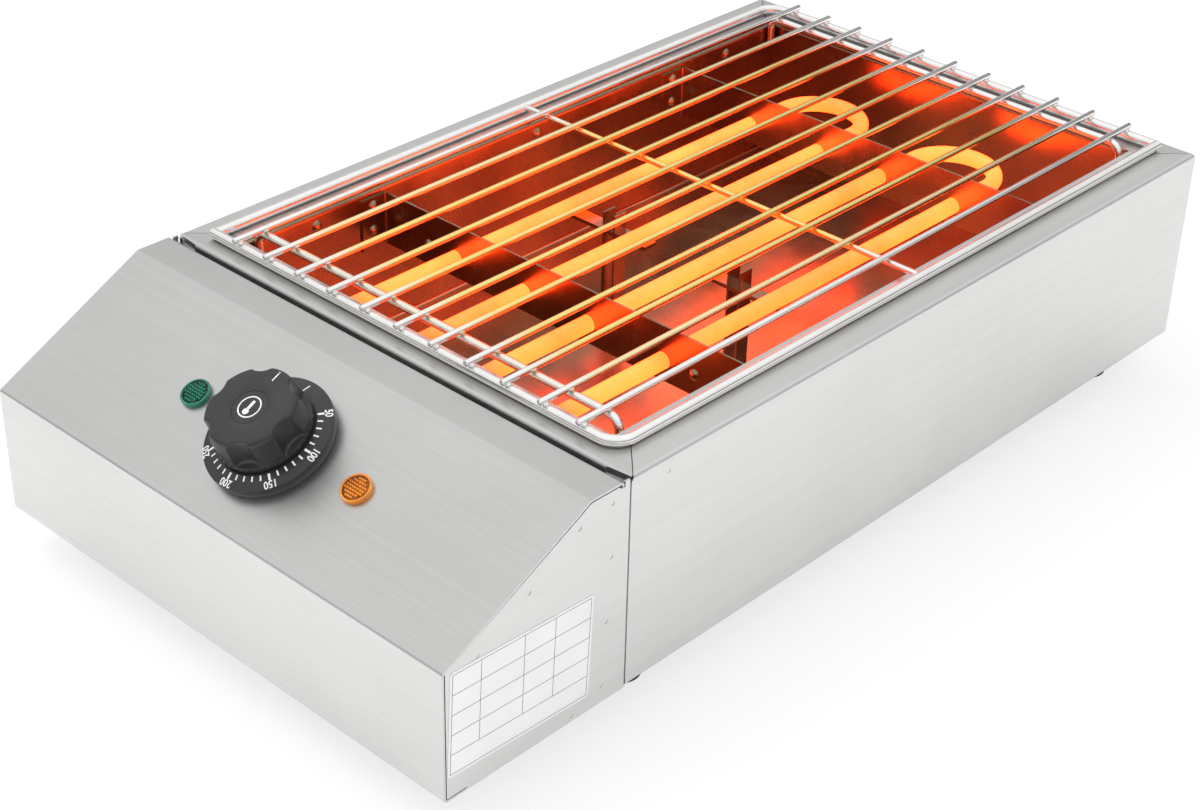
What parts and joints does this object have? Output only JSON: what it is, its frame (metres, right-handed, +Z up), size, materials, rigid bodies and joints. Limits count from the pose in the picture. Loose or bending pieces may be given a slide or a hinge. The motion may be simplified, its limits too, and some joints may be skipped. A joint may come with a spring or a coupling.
{
  "type": "countertop open electric grill",
  "caption": "Open countertop electric grill: stainless box on rubber feet, lift-off rod grate over two heating tubes, sloped control panel with a dial knob and two lamps.",
  "frame": {"origin": "on the table under the middle of the footprint", "axes": "+X to the right seen from the control panel, +Y from the control panel to the rear wall, +Z up"},
  "size_m": [0.2827, 0.51, 0.1336],
  "materials": {
    "stainless": "brushed",
    "polished_steel": "polished",
    "grate_steel": "bright",
    "element_sheath": "heat tinted",
    "brass": "satin",
    "zinc_steel": "zinc plated",
    "ceramic": "glazed ceramic",
    "black_plastic": "satin",
    "white_inlay": "gloss",
    "green_lens": "clear tinted",
    "amber_lens": "clear tinted",
    "brown_lead": "matte",
    "black_lead": "matte",
    "blue_lead": "matte",
    "grey_cable": "matte",
    "earth_green": "matte",
    "label_foil": "satin",
    "rubber": "matte"
  },
  "bodies": {
    "body": {"control_cover": "stainless", "control_side_right": "stainless", "control_side_left": "stainless", "control_base": "stainless", "front_bulkhead": "stainless", "side_panel_right": "stainless", "side_panel_left": "stainless", "rear_panel": "stainless", "base_plate": "stainless", "fire_pan": "polished_steel", "pan_end_front": "polished_steel", "pan_end_rear": "polished_steel", "element_right": "element_sheath", "element_left": "element_sheath", "element_bushes": "brass", "element_nuts": "zinc_steel", "ceramic_sleeves": "ceramic", "terminal_pins": "zinc_steel", "element_rail_front": "polished_steel", "element_rail_rear": "polished_steel", "element_brackets": "polished_steel", "rail_bolts": "polished_steel", "wall_rivets": "polished_steel", "thermostat_body": "black_plastic", "thermostat_screws": "zinc_steel", "capillary_tube": "brass", "sensing_bulb": "brass", "bulb_clips": "zinc_steel", "dial_skirt": "black_plastic", "lamp_body_green": "black_plastic", "lamp_body_amber": "black_plastic", "lamp_lens_green": "green_lens", "lamp_lens_amber": "amber_lens", "lamp_nuts": "zinc_steel", "terminal_block": "ceramic", "terminal_screws": "brass", "lead_supply": "brown_lead", "lead_switched": "black_lead", "lead_neutral": "blue_lead", "lamp_cable_green": "grey_cable", "lamp_cable_amber": "grey_cable", "earth_lead": "earth_green", "earth_screw": "brass", "cord_gland": "black_plastic", "gland_nut": "black_plastic", "rating_label": "label_foil", "rubber_feet": "rubber", "foot_screws": "zinc_steel", "foot_nuts": "zinc_steel", "cover_screws": "zinc_steel", "base_screws": "zinc_steel"},
    "knob": {"thermostat_shaft": "zinc_steel", "knob_grip": "black_plastic", "knob_pointer": "white_inlay", "knob_cap": "black_plastic"},
    "grate": {"grate_ring": "grate_steel", "grate_bars": "grate_steel", "grate_cross_rods": "grate_steel", "grate_mid_rod": "grate_steel"}
  },
  "joints": [
    {"name": "knob_turn", "type": "hinge", "parent": "body", "child": "knob", "pos_m": [0, -0.22013, 0.11002], "axis": [0, 0.4563, -0.8898], "range_deg": [0, 266]},
    {"name": "grate_lift", "type": "slide", "parent": "body", "child": "grate", "axis": [0, 0, 1], "range_m": [0, 0.12]}
  ]
}
